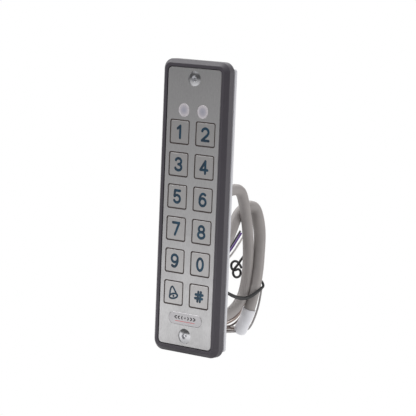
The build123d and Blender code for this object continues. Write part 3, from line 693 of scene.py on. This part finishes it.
def stroke_mesh(paths, width, x, z, y, scale):
    """Raised flat strokes with round ends, as points and faces.

    At an angle round a point of a path, the surface is the path + left * half width * swell * cos(angle) along
    the face, and thickness * root of swell * sin(angle) out of it. Swell is 1 on the path. Past each end of an
    open path it is the sine or cosine of a turning angle, and the other of the two is how many half widths past
    the end it is. The first and last rings are closed by strips from side to side.
    """
    points, faces, count = [], [], 0
    around = np.linspace(0, 2 * math.pi, STROKE_SIDES, endpoint=False)
    cap = np.linspace(0, math.pi / 2, CAP_STEPS)[:-1]
    i = np.arange(STROKE_SIDES // 2 - 1)
    strips = np.stack([i, STROKE_SIDES - 1 - i, STROKE_SIDES - 2 - i, i + 1], -1)
    for k, path in enumerate(paths):
        p = path * scale
        p = p[np.concatenate([[True], np.linalg.norm(np.diff(p, axis=0), axis=1) > SAME_POINT])]
        closed = np.linalg.norm(p[0] - p[-1]) < CLOSED_GAP
        step = np.gradient(p, axis=0)
        if closed:
            step[0] = step[-1] = p[1] - p[-2]
        step = unit(step)
        swell = np.ones(len(p))
        if not closed:
            lead = p[0] - np.cos(cap)[:, None] * step[0] * width / 2
            tail = p[-1] + np.append(np.sin(cap[1:]), 1.0)[:, None] * step[-1] * width / 2
            swell = np.concatenate([np.sin(cap), swell, np.cos(cap[1:]), [0.0]])
            p = np.vstack([lead, p, tail])
            step = np.vstack([np.repeat(step[:1], len(lead), 0), step, np.repeat(step[-1:], len(tail), 0)])
        swell = np.maximum(swell, LEAST_SWELL)[:, None]
        left = np.stack([-step[:, 1], step[:, 0]], -1)
        flat = p[:, None] + left[:, None] * (width / 2 * swell * np.cos(around))[..., None]
        high = -np.sin(around) * PRINT_THICK * (1 + CROSSING_LIFT * k) * np.sqrt(swell)
        points.append(np.stack([x + flat[..., 0], y + high, z + flat[..., 1]], -1).reshape(-1, 3) * MM)
        faces.append(grid_faces(len(p), STROKE_SIDES, False, True) + count)
        if not closed:
            faces += [count + strips, count + len(p) * STROKE_SIDES - 1 - strips]
        count += len(p) * STROKE_SIDES
    return np.concatenate(points), np.concatenate(faces)


def face_of(node):
    """Middle of a CAD node's front, across and up, and how far back it lies, in millimetres."""
    low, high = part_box(node)
    return (low[0] + high[0]) / 2 / MM, (low[2] + high[2]) / 2 / MM, low[1] / MM


def turned(points, degrees):
    """Points turned left about the origin: (x cos - y sin, x sin + y cos)."""
    a = math.radians(degrees)
    return points @ np.array([[math.cos(a), math.sin(a)], [-math.sin(a), math.cos(a)]])


def add_key_prints():
    """Mark on each key, which moves with it."""
    material = ink()
    body, mouth, clapper = SYMBOLS["bell"]
    bell = [body, turned(mouth, BELL_TURN) + BELL_MOUTH, clapper + BELL_MOUTH]
    for name, paths in {**SYMBOLS, "bell": bell}.items():
        x, z, front = face_of(f"key_{name}")
        width = BELL_STROKE if name == "bell" else STROKE
        points, faces = stroke_mesh(paths, width, x, z, front + PRINT_SINK, DIGIT_TALL)
        piece = add_mesh(f"print_{name}", points, faces, material)
        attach(piece, f"button_{name}")


WAVE_DOT = 0.16
WAVE_REACHES = (2.2, 4.4, 6.6)
WAVE_TALL = 1.15
WAVE_TURN = 34  # degrees above and below the middle
WAVE_STROKE, WAVE_RISE = 0.62, 0.55
LINE_STROKE, LINE_RISE = 0.34, -1.35
LINE_HALF = 6.2


def add_badge_mark():
    """Plain radio-wave mark on the badge: a dot with three arcs to each side over a thin red line."""
    x, z, front = face_of("oval_badge")
    dark = finish("mark_grey", tone(44, 40, 46), rough=(0.4, 0.5), bump=0.02)
    red = finish("mark_red", tone(196, 96, 100), rough=(0.4, 0.5), bump=0.02)
    waves = [arc(0, 0, WAVE_DOT, WAVE_DOT, 0, 360, 16)]
    for side in (0, 180):
        start, end = side - WAVE_TURN, side + WAVE_TURN
        waves += [arc(0, 0, reach, WAVE_TALL, start, end, 14) for reach in WAVE_REACHES]
    line = [run((-LINE_HALF, 0), (LINE_HALF, 0))]
    marks = (("badge_waves", waves, WAVE_STROKE, WAVE_RISE, dark),
             ("badge_line", line, LINE_STROKE, LINE_RISE, red))
    for name, paths, width, rise, material in marks:
        points, faces = stroke_mesh(paths, width, x, z + rise, front + PRINT_SINK, 1.0)
        piece = add_mesh(name, points, faces, material)
        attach(piece, READER)


# ---- Painted shade in the gaps round the keys as dark rings, in millimetres: half width and corner radius of each wall, and its ends ----
GAP_SHADE_INNER = (5.76, 0.9)
GAP_SHADE_OUTER = (6.32, 1.2)
GAP_SHADE_FRONT = Y_FRONT + 0.22
GAP_SHADE_BACK = GAP_SHADE_FRONT + 0.9


def rounded_square(half, corner, steps=8):
    """Points round a square of this half width.

    A corner is half - corner + corner * (cos(angle), sin(angle)) over a quarter turn, and the four are that
    one turned by quarter turns.
    """
    a = np.linspace(0, math.pi / 2, steps)
    quarter = half - corner + corner * np.stack([np.cos(a), np.sin(a)], -1)
    return np.vstack([turned(quarter, degrees) for degrees in (0, 90, 180, 270)])


def add_key_gap_shade():
    """Thin dark ring in the gap round each key, painted shade of the gap: four rounded squares, each joined to
    the next.
    """
    walls = ((GAP_SHADE_INNER, GAP_SHADE_BACK), (GAP_SHADE_INNER, GAP_SHADE_FRONT),
             (GAP_SHADE_OUTER, GAP_SHADE_FRONT), (GAP_SHADE_OUTER, GAP_SHADE_BACK))
    ring = np.concatenate([np.insert(rounded_square(*size), 1, y, axis=1) for size, y in walls])
    faces = grid_faces(len(walls), len(ring) // len(walls), True, True)
    for name in SYMBOLS:
        x, z, _ = face_of(f"key_{name}")
        piece = add_mesh(f"key_gap_shade_{name}", (ring + (x, 0, z)) * MM, faces, KEY_GAP_SHADE, smooth=False)
        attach(piece, READER)


# ---- Put it together ----
bpy.context.scene.view_settings.view_transform = "Standard"
add_camera()
add_world()
add_floor()
add_light("key_light", where=(-0.5, -0.65, 1.0), size=(0.5, 0.5), watts=3.0)
add_light("rim_light", where=(1.1, 0.5, 0.05), size=(0.6, 0.6), watts=5.0)

dress(PLATE, "face_plate")
dress(KEY, *[f"key_{name}" for name in SYMBOLS])
dress(BEZEL, "front_bezel")
dress(COVER, "rear_cover")
dress(BADGE, "oval_badge")
dress(SCREW, "wall_screw_top", "wall_screw_bottom", "cover_screws", "board_screws")
dress(BLACK_RUBBER, "plate_gasket", "rear_seal")
dress(GREY_RUBBER, "cable_gland")
dress(DARK_PLASTIC, "key_guide", "buzzer", "wire_header")
dress(FILM, "dome_film")
dress(DOME, "snap_domes")
dress(frosted_painted_light(), "light_window_left", "light_window_right")
dress(LED, "status_leds", "tamper_sensor")
dress(BOARD, "circuit_board")
dress(COPPER, "antenna_coil")
dress(CHIP, "controller_chip", "radio_chip", "voltage_regulator")
dress(CAN, "capacitors", "clock_crystal")
dress(CLEAR, "tamper_window")

add_cable()
add_wires()
add_tie()
add_key_prints()
add_badge_mark()
add_key_gap_shade()
